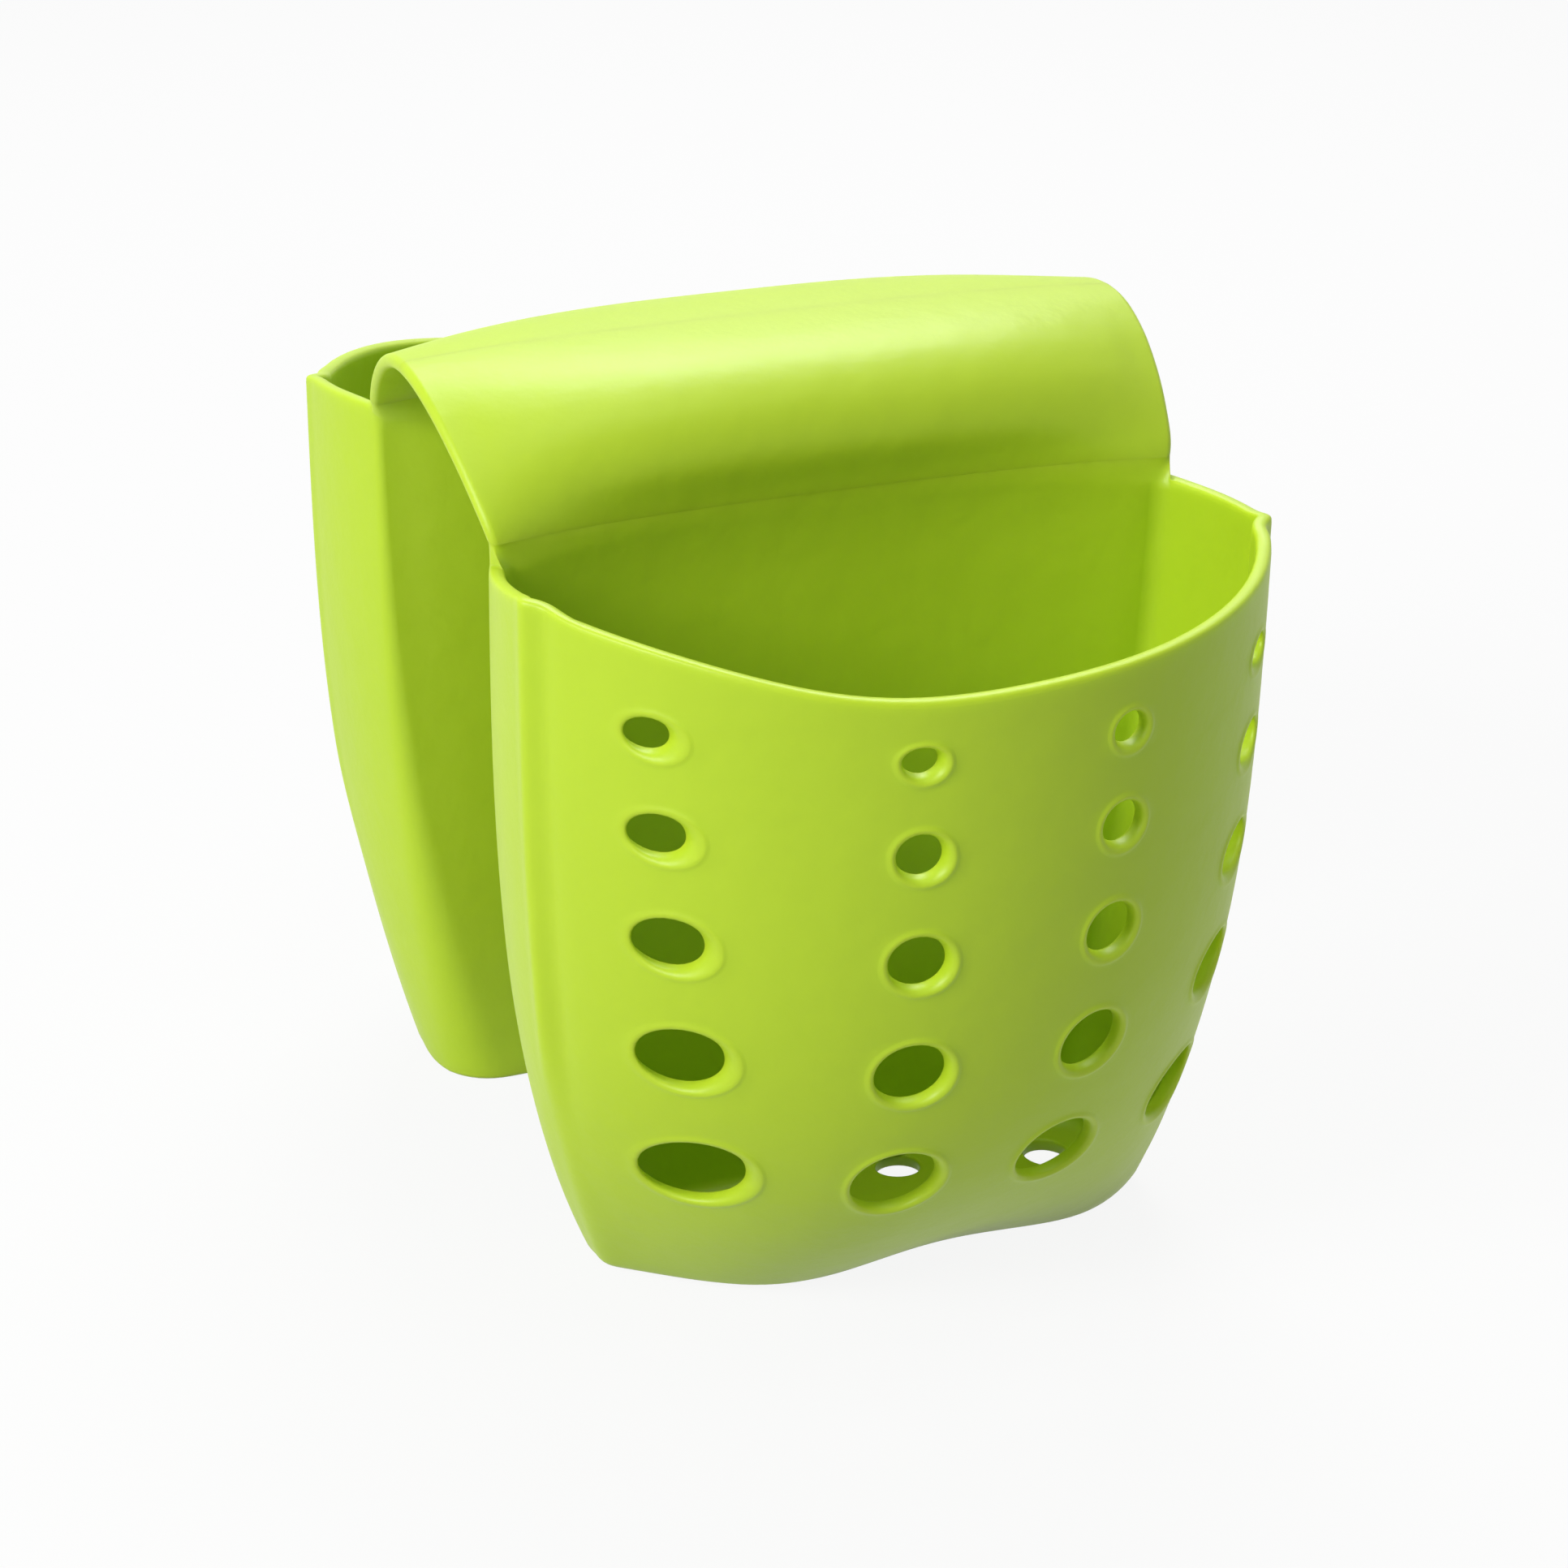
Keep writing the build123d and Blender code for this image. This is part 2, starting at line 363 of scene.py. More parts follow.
@dataclass(frozen=True)
class LimePlastic:
    """Soft lime plastic with a fine moulded grain and a satin sheen."""

    name: str = "lime_soft_plastic"
    roughness_low: float = 0.40
    roughness_high: float = 0.50
    grain_roughness: float = 0.10
    ripple_tone: float = 0.12
    noise_middle: float = 0.5
    cloud: Noise = Noise(26.0, 4.0, 0.0, 0.0)
    ripple: Noise = Noise(140.0, 3.0, 0.35, 0.0006)
    grain: Noise = Noise(2600.0, 2.0, 0.25, 0.00003)
    refraction: float = 1.48
    specular: float = 0.42
    subsurface: float = 0.35
    subsurface_radius: tuple[float, float, float] = (0.9, 1.0, 0.2)
    subsurface_scale: float = 0.006

    def material(self) -> Material:
        """Make the material.

        Returns:
            The finished node material.
        """
        bench = NodeBench(bpy.data.materials.new(self.name))
        place = bench.add("TexCoord", {}, {}, "Object")
        cloud, ripple, grain = (noise.made(bench, place) for noise in (self.cloud, self.ripple, self.grain))
        tone = bench.mixed(cloud, Colour.LIME_DEEP.value, Colour.LIME_PALE.value)
        lime_share = 0.5 + self.ripple_tone * (ripple - self.noise_middle)
        span = self.roughness_high - self.roughness_low
        rough = self.roughness_low + span * cloud + self.grain_roughness * (grain - self.noise_middle)
        swell = self.ripple.bump(bench, ripple, {})
        inputs = {
            "Base Color": bench.mixed(lime_share, tone, Colour.LIME.value),
            "Roughness": rough.held(),
            "Normal": self.grain.bump(bench, grain, {"Normal": swell}),
            "IOR": self.refraction,
            "Specular IOR Level": self.specular,
            "Subsurface Weight": self.subsurface,
            "Subsurface Radius": self.subsurface_radius,
            "Subsurface Scale": self.subsurface_scale,
        }
        return bench.finish_with(bench.add("BsdfPrincipled", {}, inputs))


@dataclass(frozen=True)
class PaleFloor:
    """Floor that shows white to the camera and keeps the object's shadow."""

    name: str = "pale_floor"
    own_light_share: float = 0.90

    def material(self) -> Material:
        """Make the material.

        Returns:
            The finished node material.
        """
        bench = NodeBench(bpy.data.materials.new(self.name))
        share = bench.background_share() * self.own_light_share
        plain = bench.add("BsdfDiffuse", {}, {"Color": Colour.PALE_GREY.value})
        glow = bench.add("Emission", {}, {"Color": Colour.WHITE.value, "Strength": 1.0})
        return bench.finish_with(bench.add("MixShader", {}, {0: share, 1: plain, 2: glow}))


# The caddy's shape


class Side(Enum):
    """Side of the divider slot; the value turns depth into the frame's Y."""

    FRONT = -1
    BACK = 1

    @property
    def word(self) -> str:
        """The side in names of pieces and bodies."""
        return self.name.lower()


@dataclass(frozen=True)
class Tuck:
    """Size that is drawn in late on the way down from rim to floor."""

    top: float
    bottom: float
    power: float

    def at(self, height: Array) -> Array:
        """The size at a height above the floor."""
        share = np.clip(1 - height / RIM_HEIGHT, 0.0, 1.0)
        return self.top - (self.top - self.bottom) * share ** self.power


@dataclass(frozen=True)
class PocketSizes:
    """Outside sizes of a pocket: half widths in x, reaches in depth, and forms of its walls."""

    rim_height: float = RIM_HEIGHT
    wall: float = 2.5
    floor: float = 2.5
    slot_half_top: float = 31.0
    slot_half_bottom: float = 26.0
    back_half: Tuck = Tuck(60.0, 45.0, 2.9)
    ear_half: Tuck = Tuck(63.9, 50.0, 2.9)
    ear_reach: Tuck = Tuck(59.0, 45.2, 3.8)
    front_reach: Tuck = Tuck(103.0, 59.6, 3.8)
    corner_reach: Tuck = Tuck(1.5, 7.0, 1.5)
    inner_corner_reach_least: float = 2.6
    side_bow: float = 1.4
    ear_step: float = 1.4
    ear_land: float = 3.0
    ridge_start: float = 62.0
    ridge_end: float = 14.0
    ridge_fade: float = 11.0
    ridge_calm: int = 60
    notch_length: float = 2.6
    notch_dip: float = 0.5
    notch_place: float = 3.6
    notch_width: float = 1.5
    under_radius: float = 2.6
    under_radius_slot: float = 1.2
    under_fade_columns: float = 14.0
    inside_radius: float = 2.0
    draw_top: float = 5.6
    draw_return: float = 0.9
    draw_starts: tuple[float, float] = (20.0, 117.0)
    draw_power: float = 3.0
    lean_step: float = 0.5

    def slot_half(self, height: Array) -> Array:
        """Depth of the slot wall's outer face."""
        share = np.clip(height / self.rim_height, 0.0, 1.0)
        return self.slot_half_bottom + (self.slot_half_top - self.slot_half_bottom) * share

    def slot_draw(self, height: float) -> float:
        """How far the middle of the soft slot wall is drawn in, growing up to just below the rim."""
        share, back = (max((height - start) / (self.rim_height - start), 0.0) for start in self.draw_starts)
        return self.draw_top * share - self.draw_return * back ** 2

    def bow_circle(self, height: Array) -> tuple[Array, Array]:
        """Circle of the front panel's bow.

        Args:
            height: Heights above the floor.

        Returns:
            The circle's radius and the depth of its middle.
        """
        rise = self.front_reach.at(height) - self.ear_reach.at(height)
        radius = (self.ear_half.at(height) ** 2 + rise ** 2) / (2 * rise)
        return radius, self.front_reach.at(height) - radius

    @staticmethod
    def chord(radius: Array, x: Array) -> Array:
        """Half chord of a circle at a place across it."""
        return np.sqrt(np.maximum(radius ** 2 - x ** 2, 1.0))

    def panel_depth(self, x: Array, height: Array) -> Array:
        """Depth of the panel's outer face."""
        radius, middle = self.bow_circle(height)
        return middle + self.chord(radius, x)

    def level_wall(self, x: Array, height: Array) -> Array:
        """Wall of the panel measured level and square to its bow.

        Args:
            x: Places across the panel.
            height: Heights above the floor.

        Returns:
            The wall, thicker where the panel leans.
        """
        low = np.maximum(height - self.lean_step, 0.0)
        high = np.minimum(height + self.lean_step, self.rim_height)
        climb = (self.panel_depth(x, high) - self.panel_depth(x, low)) / (high - low)
        radius, _ = self.bow_circle(height)
        return self.wall * np.sqrt(1 + (climb * (self.chord(radius, x) / radius)) ** 2)

    def inner_panel_depth(self, x: Array, height: Array) -> Array:
        """Depth of the panel's inner face."""
        radius, middle = self.bow_circle(height)
        return middle + self.chord(radius - self.level_wall(x, height), x)


@dataclass(frozen=True)
class Opening:
    """One round opening of the panel; each lip has points (way out from the edge, height over the face)."""

    x: float
    height: float
    radius: float
    outer_lip: Points = (
        (2.1, 0.0), (1.75, 0.08), (1.48, 0.24), (1.22, 0.34), (0.94, 0.3),
        (0.66, 0.12), (0.4, -0.18), (0.19, -0.62), (0.06, -1.18), (0.0, -1.7)
    )
    inner_lip: Points = ((1.6, 0.0), (0.8, 0.0), (0.4, 0.03), (0.15, 0.16), (0.0, 0.45))


@dataclass
class PocketPlan:
    """Outlines of half a pocket at every height, from mid panel to mid slot wall."""

    sizes: PocketSizes
    panel_share: float = 0.92
    panel_steps: int = 24
    side_steps: int = 44
    corner_steps: int = 8
    rim_steps: int = 8
    slot_steps: int = 14
    line_start_share: float = 0.80
    dense_steps: int = 160
    even_step: float = 0.25
    calm: int = 20
    wall_change: float = 8.0
    floor_lean: float = 0.4
    ear_margin: float = 1.0
    start_gap: float = 0.05
    end_gap: float = 0.2
    tail_points: int = 5
    ear_crowding: float = 5.0
    ear_crowd_width: float = 3.2
    levels: Array = field(init=False)
    outer: Array = field(init=False)
    inner: Array = field(init=False)

    def __post_init__(self) -> None:
        """Work out the outlines at whole millimetres of height."""
        self.levels = np.arange(self.sizes.rim_height + 1.0)
        self.outer, self.inner = (np.stack(lines) for lines in zip(*map(self.outlines, self.levels)))

    @property
    def panel_columns(self) -> Array:
        """Panel columns, as shares of the half width at the ears."""
        return np.linspace(0.0, self.panel_share, self.panel_steps + 1)

    @property
    def corner_column(self) -> int:
        """Column where the side wall ends and the slot corner begins."""
        return self.panel_steps + self.side_steps

    @property
    def slot_column(self) -> int:
        """Column where the slot wall begins."""
        return self.corner_column + self.corner_steps

    def side_line(self, height: float) -> tuple[Array, Array]:
        """Dense outer line from the panel to the slot corner, with the ridge at the ear.

        Args:
            height: Height above the floor.

        Returns:
            The line at even steps, and each point's length from the ear, negative on the panel.
        """
        s = self.sizes
        ear = np.array([s.ear_half.at(height), s.ear_reach.at(height)])
        corner = np.array([s.back_half.at(height), s.slot_half(height)])
        xs = np.linspace(self.line_start_share, 1.0, self.dense_steps) * ear[0]
        arc = np.stack([xs, s.panel_depth(xs, height)], axis=1)
        straight = ear + np.linspace(0.0, 1.0, self.dense_steps)[1:, None] * (corner - ear)
        line = np.concatenate([arc, straight])
        along = line_lengths(line)
        u = along - along[self.dense_steps - 1]
        length = u[-1]
        run = (ear - corner) / length
        out = np.array([run[1], -run[0]])
        fade = np.clip((u - s.ear_land) / (length - s.ear_land), 0.0, 1.0)
        crisp = smooth_step((height - s.ridge_end) / (s.ridge_start - s.ridge_end))
        rise = s.notch_length + (1 - crisp) * s.ridge_fade
        push = s.ear_step * smooth_step((u + s.notch_length) / rise) * (1 - fade)
        push += 4 * s.side_bow * fade * (1 - fade)
        push -= crisp * s.notch_dip * np.exp(-((u + s.notch_place) / s.notch_width) ** 2)
        line = line + push[:, None] * out
        along = line_lengths(line)
        even = np.linspace(0.0, along[-1], int(along[-1] / self.even_step) + 2)
        rounds = self.calm + int((1 - crisp) * s.ridge_calm)
        return relaxed(at_lengths(line, even), rounds), np.interp(even, along, u)

    def outlines(self, height: float) -> tuple[Array, Array]:
        """Outer and inner outline at a height.

        Args:
            height: Height above the floor.

        Returns:
            Two lines with the same number of points.
        """
        s = self.sizes
        half = s.ear_half.at(height)
        xs = self.panel_columns * half
        outer_panel = np.stack([xs, s.panel_depth(xs, height)], axis=1)
        inner_panel = np.stack([xs, s.inner_panel_depth(xs, height)], axis=1)
        line, u = self.side_line(height)
        lean = half - s.ear_half.at(height - 1.0) if height > 1.0 else self.floor_lean
        side_wall = s.wall * math.sqrt(1 + lean ** 2)
        panel_wall = s.level_wall(xs[-1], height)
        walls = panel_wall + (side_wall - panel_wall) * smooth_step(1 + u / self.wall_change)
        inner_line = uncrossed(line - left_normals(line) * walls[:, None])
        slot, reach = s.slot_half(height), s.corner_reach.at(height)
        inner_reach = max(reach - s.wall, s.inner_corner_reach_least)
        outlines = []
        for panel, dense, face, rounding in (
            (outer_panel, line, slot, reach), (inner_panel, inner_line, slot + s.wall, inner_reach)
        ):
            side = self.trimmed_side(dense, u, panel[-1], face, rounding)
            slot_xs = np.linspace(side[-1, 0], 0.0, self.slot_steps + 1)[1:]
            drawn = s.slot_draw(height) * (1 - (slot_xs / side[-1, 0]) ** s.draw_power)
            outlines.append(np.concatenate([panel, side[1:], np.stack([slot_xs, face - drawn], axis=1)]))
        return outlines[0], outlines[1]

    def trimmed_side(self, line: Array, u: Array, start: Array, face: float, reach: float) -> Array:
        """Side wall's line cut to its columns, with the rounded corner at the slot wall.

        Args:
            line: Dense line from the panel to past the corner.
            u: Length from the ear for each point.
            start: The panel's last point.
            face: Depth of the slot wall's face.
            reach: Reach of the corner's rounding.

        Returns:
            Points of the side wall's columns and of the corner's.
        """
        past_start = (u > -self.ear_margin) | (line[:, 0] > start[0] + self.start_gap)
        keep = past_start & (line[:, 1] > face)
        kept, kept_u = line[keep], u[keep]
        before, last = kept[-self.tail_points], kept[-1]
        tail = last + (last - before) / max(before[1] - last[1], TINY) * (last[1] - face)
        line = np.concatenate([start[None], kept, tail[None]])
        u = np.concatenate([[kept_u[0] - self.end_gap], kept_u, [kept_u[-1] + self.end_gap]])
        along = line_lengths(line)
        weight = 1 + self.ear_crowding * np.exp(-((u / self.ear_crowd_width) ** 2))
        busy = np.concatenate([[0.0], np.cumsum(np.diff(along) * (weight[1:] + weight[:-1]) / 2)])
        busy_stop = np.interp(along[-1] - reach, along, busy)
        wanted = np.interp(np.linspace(0.0, busy_stop, self.side_steps + 1), busy, along)
        side = at_lengths(line, wanted)
        end = np.array([tail[0] - reach, face])
        return np.concatenate([side, corner_curve(side[-1], tail, end, self.corner_steps)[1:]])

    def ring(self, table: Array, heights: Array) -> Array:
        """Outline whose columns each have their own height.

        Args:
            table: The outer or the inner outlines.
            heights: Height of each column.

        Returns:
            Points in x, depth and height.
        """
        place = np.clip(heights, 0.0, self.levels[-1])
        low = np.minimum(place.astype(int), len(self.levels) - 2)
        share = (place - low)[:, None]
        columns = np.arange(table.shape[1])
        plan = table[low, columns] * (1 - share) + table[low + 1, columns] * share
        panel = slice(0, self.panel_steps + 1)
        xs = self.panel_columns * self.sizes.ear_half.at(place[panel])
        depth_of = self.sizes.panel_depth if table is self.outer else self.sizes.inner_panel_depth
        plan[panel] = np.stack([xs, depth_of(xs, place[panel])], axis=1)
        return np.concatenate([plan, heights[:, None]], axis=1)


@dataclass(frozen=True)
class Sway:
    """Set of a soft pocket: front and foot to one side, a wavy foot, and a tipped, dented rim."""

    front_shift: float = 0.0
    foot_shift: float = 0.0
    foot_turn: float = 0.0
    foot_wave: float = 0.0
    wave_place: float = -28.0
    wave_length: float = 69.0
    rim_tip: float = 0.0
    dent: float = 0.0
    dent_place: float = -25.0
    dent_width: float = 22.5
    dent_span: tuple[float, float] = (112.0, 124.5)
    tip_span: tuple[float, float] = (104.0, 129.0)
    turn_span: tuple[float, float] = (26.0, 56.0)
    front_span: tuple[float, float] = (34.0, 103.0)
    rim_onset: float = 3.0
    foot_height: float = 60.0
    half_width: float = 64.0

    @staticmethod
    def share_in(value: float, span: tuple[float, float]) -> float:
        """Share of the way through a span, kept between 0 and 1."""
        return min(max((value - span[0]) / (span[1] - span[0]), 0.0), 1.0)

    def moved(self, point: Vector) -> Vector:
        """Where a point of the straight pocket goes.

        Args:
            point: Point in x, depth and height.

        Returns:
            The point on the swayed pocket.
        """
        away = self.share_in(point.y, self.front_span)
        clear = min(self.rim_onset * away, 1.0)
        low = max(1 - point.z / self.foot_height, 0.0) ** 2
        wave = self.foot_wave * math.cos(2 * math.pi * (point.x - self.wave_place) / self.wave_length)
        turned = (self.foot_turn * point.x + wave) * low * self.share_in(point.y, self.turn_span)
        tip_share = smooth_step(self.share_in(point.z, self.tip_span))
        tip = self.rim_tip * point.x / self.half_width * tip_share
        dent = self.dent * math.exp(-((point.x - self.dent_place) / self.dent_width) ** 2)
        dent *= smooth_step(self.share_in(point.z, self.dent_span))
        shift = self.front_shift * away + self.foot_shift * low
        return Vector((point.x + shift, point.y + turned, point.z - clear * (tip + dent)))


@dataclass
class Moulding:
    """A sub-assembly of soft plastic on one side of the slot."""

    side: Side
    plan: PocketPlan

    @property
    def sizes(self) -> PocketSizes:
        """Sizes of the pockets."""
        return self.plan.sizes

    def dress(self, piece: Object, finish: Material) -> None:
        """Give a piece its finish.

        Args:
            piece: The piece's object.
            finish: The plastic.
        """
        piece.data.materials.clear()
        piece.data.materials.append(finish)


@dataclass
class Pocket(Moulding):
    """One perforated pocket: slot wall, side walls, bowed panel with its openings, and drained floor."""

    rim_at_front: float
    rim_at_ear: float
    rim_at_corner: float
    sway: Sway
    opening_diameters: tuple[float, ...] = (5.6, 7.2, 9.0, 11.2, 14.0)
    opening_height_shares: tuple[float, ...] = (0.895, 0.771, 0.628, 0.465, 0.275)
    span_share_top: float = 0.81
    span_share_bottom: float = 0.73
    cell_levels: tuple[float, ...] = (22.0, 48.6, 70.8, 90.4, 107.6, 122.5)
    cell_columns: int = 12
    cell_rows: int = 10
    cell_shares: tuple[float, ...] = (0.3, 0.6, 0.85)
    outer_steps: tuple[int, int] = (7, 9)
    inner_steps: tuple[int, int] = (5, 8)
    upper_steps: int = 5
    pull_steps: int = 240
    pull_calm: int = 110
    rim_squareness: float = 0.6
    rim_sag: float = 0.4
    rim_ear_share: float = 0.45
    rim_run_out: float = 12.0
    rim_calm: int = 60
    web_steps: int = 6
    web_calm: int = 10
    drain_radius: float = 4.0
    drain_steps: int = 32
    drain_places: Points = ((10.0, 34.0), (37.0, 37.0))
    drain_lip: Points = ((0.9, 0.0), (0.55, 0.0), (0.3, 0.06), (0.1, 0.25), (0.0, 0.55))

    def openings(self) -> list[Opening]:
        """Openings on one half of the panel.

        Returns:
            Two openings for each row, from the rim down.
        """
        found = []
        shares = self.opening_height_shares
        for share, diameter in zip(shares, self.opening_diameters):
            way_up = (share - shares[-1]) / (shares[0] - shares[-1])
            span = self.span_share_bottom + (self.span_share_top - self.span_share_bottom) * way_up
            height = share * self.sizes.rim_height
            outer_x = self.sizes.ear_half.at(height) * span
            found += [Opening(x, height, diameter / 2) for x in (outer_x / 3, outer_x)]
        return found

    def rim_wave(self) -> Array:
        """Rise of the rim over its nominal height.

        Returns:
            The rise of each column.
        """
        plan = self.plan
        along = line_lengths(plan.outer[-1])
        ear_at = along[plan.panel_steps + int(plan.side_steps * self.rim_ear_share)]
        slot_at = along[plan.slot_column] + self.rim_run_out
        knots = [0.0, ear_at * 0.5, ear_at, along[plan.corner_column], slot_at]
        middle = 0.5 * (self.rim_at_front + self.rim_at_ear) - self.rim_sag
        heights = [self.rim_at_front, middle, self.rim_at_ear, self.rim_at_corner, 0.0]
        wave = np.interp(along, knots, heights)
        return relaxed(np.concatenate([wave[::-1], wave[1:]]), self.rim_calm)[len(wave) - 1:]

    def pulled_in(self, ring: Array, by: Array) -> Array:
        """Ring drawn inwards square to its line.

        Args:
            ring: Points in x, depth and height.
            by: How far each column goes inwards.

        Returns:
            The drawn-in ring, with its ends on the middle plane.
        """
        along = line_lengths(ring[:, :2])
        even = np.linspace(0.0, along[-1], self.pull_steps)
        calm = relaxed(at_lengths(ring[:, :2], even), self.pull_calm)
        normals = interpolated(along, even, left_normals(calm))
        moved = ring.copy()
        moved[:, :2] = uncrossed(moved[:, :2] - normals * by[:, None])
        moved[[0, -1], 0] = 0.0
        return moved

    def face_rows(self, table: Array, floor: float, radii: Array, steps: tuple[int, int]) -> Face:
        """Rings of one face of the pocket from its floor up to the rim.

        Args:
            table: The outer or the inner outlines.
            floor: Height of the face's floor.
            radii: Radius of the rounding at the floor, for each column.
            steps: Rings in the rounding, and from there up to the cells.

        Returns:
            The rings, and the rows where the cells of the openings begin and end.
        """
        rows = []
        for angle in np.linspace(0.0, math.pi / 2, steps[0] + 1)[:-1]:
            ring = self.plan.ring(table, floor + radii * (1 - math.cos(angle)))
            rows.append(self.pulled_in(ring, radii * (1 - math.sin(angle))))
        base, top = floor + radii, self.sizes.rim_height + self.rim_wave() - self.sizes.wall / 2
        levels = self.cell_levels
        heights = [base + (levels[0] - base) * share for share in np.linspace(0.0, 1.0, steps[1] + 1)[:-1]]
        for low, high in zip(levels[:-1], levels[1:]):
            cell_heights = np.linspace(low, high, self.cell_rows + 1)[:-1]
            heights += [np.full(len(radii), height) for height in cell_heights]
        upper_shares = np.linspace(0.0, 1.0, self.upper_steps + 1)
        heights += [levels[-1] + (top - levels[-1]) * share for share in upper_shares]
        rows += [self.plan.ring(table, height) for height in heights]
        first = sum(steps)
        return np.stack(rows), first, first + self.cell_rows * (len(levels) - 1)

    def rim_arch(self, outer: Array, inner: Array) -> Array:
        """Rounded rim between the last outer and the last inner ring.

        Args:
            outer: Last ring of the outer face.
            inner: Last ring of the inner face.

        Returns:
            Rows of points from the outer ring over to the inner one.
        """
        middle, half = (outer + inner) / 2, (outer - inner) / 2
        rise = np.array([0.0, 0.0, self.sizes.wall / 2])
        rows = []
        for angle in np.linspace(0.0, math.pi, self.plan.rim_steps + 1):
            across = math.copysign(abs(math.cos(angle)) ** self.rim_squareness, math.cos(angle))
            rows.append(middle + half * across + rise * abs(math.sin(angle)) ** self.rim_squareness)
        return np.stack(rows)

    def cell(self, skin: Skin, opening: Opening, border: Array, inside: bool) -> Array:
        """Rings of one cell's face, from its border in to the edge of the opening.

        Args:
            skin: The skin that the face goes to.
            opening: The opening in the cell.
            border: Closed loop of the cell's border.
            inside: Whether this is the pocket's inner face.

        Returns:
            The last ring, on the opening's wall.
        """
        surface = self.sizes.inner_panel_depth if inside else self.sizes.panel_depth
        lip = opening.inner_lip if inside else opening.outer_lip
        centre = np.array([opening.x, opening.height])
        edge = border[:, [0, 2]]
        unit = (edge - centre) / np.linalg.norm(edge - centre, axis=1, keepdims=True)
        widest = centre + unit * (opening.radius + lip[0][0])
        flats = [(edge * (1 - share) + widest * share, 0.0) for share in self.cell_shares]
        flats += [(centre + unit * (opening.radius + offset), height) for offset, height in lip]
        rows = [border]
        for flat, height in flats:
            x, level = flat.T
            rows.append(np.stack([x, surface(x, level) + height, level], axis=1))
        skin.patch(np.stack(rows), closed=True)
        return rows[-1]

    def cell_border(self, face: Face, cell_row: int, cell_column: int) -> Array:
        """Grid points round one cell.

        Args:
            face: Rings of the face with their first and last cell row.
            cell_row: The cell's row, from the lowest.
            cell_column: The cell's column, from the middle.

        Returns:
            A closed loop, against the clock in x and height.
        """
        grid, first, _ = face
        low, left = first + cell_row * self.cell_rows, cell_column * self.cell_columns
        high, right = low + self.cell_rows, left + self.cell_columns
        bottom, near = grid[low, left:right], grid[low:high, right]
        top, far = grid[high, left + 1:right + 1][::-1], grid[low + 1:high + 1, left][::-1]
        return np.concatenate([bottom, near, top, far])

    def panel_cells(self, skin: Skin, outer: Face, inner: Face) -> None:
        """Add the cells with their openings, on both faces and through the wall.

        Args:
            skin: The skin that the faces go to.
            outer: Outer rings with their first and last cell row.
            inner: Inner rings with their first and last cell row.
        """
        openings = self.openings()
        row_count = len(self.cell_levels) - 1
        for row in range(row_count):
            for column in range(2):
                opening = openings[(row_count - 1 - row) * 2 + column]
                edge = self.cell(skin, opening, self.cell_border(outer, row, column), False)
                back = self.cell(skin, opening, self.cell_border(inner, row, column), True)
                skin.patch(np.stack([edge, (edge + back) / 2, back]), closed=True)

    def corner_web(self, arch: Array, outer: Array, inner: Array, seam: Array) -> Array:
        """Patch that leads the rim into the free end of the saddle sheet.

        Args:
            arch: Rows of the rounded rim.
            outer: Last ring of the outer face.
            inner: Last ring of the inner face.
            seam: Loop of the saddle sheet at the seam.

        Returns:
            Rows of points from the rim's level up to the seam.
        """
        corner = self.plan.corner_column
        base = np.concatenate([outer[corner:][::-1], arch[1:, corner], inner[corner + 1:]])
        shares = np.linspace(0.0, 1.0, self.web_steps + 1)[:, None, None]
        web = base * (1 - shares) + seam * shares
        for _ in range(self.web_calm):
            around = (web[:-2, 1:-1] + web[2:, 1:-1] + web[1:-1, :-2] + web[1:-1, 2:]) / 4
            web[1:-1, 1:-1] = 0.5 * web[1:-1, 1:-1] + 0.5 * around
        return web

    def fill_floor(self, work: BMesh, ring: Array, height: float) -> None:
        """Close one face of the floor round its drain openings.

        Args:
            work: The joined mesh, in millimetres.
            ring: Half of the face's border.
            height: Height of the face.
        """
        loop = np.concatenate([ring, (ring * [-1, 1, 1])[::-1][1:-1]])
        near = [work.verts.new(point) for point in loop]
        edges = [work.edges.new((near[index - 1], near[index])) for index in range(len(near))]
        for across, depth in self.drain_places:
            for x in (-across, across):
                edges += self.drain_rings(work, x, depth, height)
        bmesh.ops.triangle_fill(work, use_beauty=True, edges=edges)

    def drain_rings(self, work: BMesh, x: float, depth: float, height: float) -> list[BMEdge]:
        """Add one drain opening's rounded edge on one face of the floor.

        Args:
            work: The joined mesh, in millimetres.
            x: Its place across the pocket.
            depth: Its distance from the slot's middle.
            height: Height of the floor's face.

        Returns:
            The widest ring's edges.
        """
        steps = self.drain_steps
        turns = [2 * math.pi * index / steps for index in range(steps)]
        pairs = [(index, (index + 1) % steps) for index in range(steps)]
        inwards = 1.0 if height == 0.0 else -1.0
        rings = []
        for offset, sink in (*self.drain_lip, (0.0, self.sizes.floor / 2)):
            reach, level = self.drain_radius + offset, height + inwards * sink
            places = [(x + reach * math.cos(turn), depth + reach * math.sin(turn), level) for turn in turns]
            rings.append([work.verts.new(place) for place in places])
        for wide, narrow in zip(rings[:-1], rings[1:]):
            for here, after in pairs:
                work.faces.new((wide[here], wide[after], narrow[after], narrow[here]))
        return [work.edges.get((rings[0][here], rings[0][after])) for here, after in pairs]

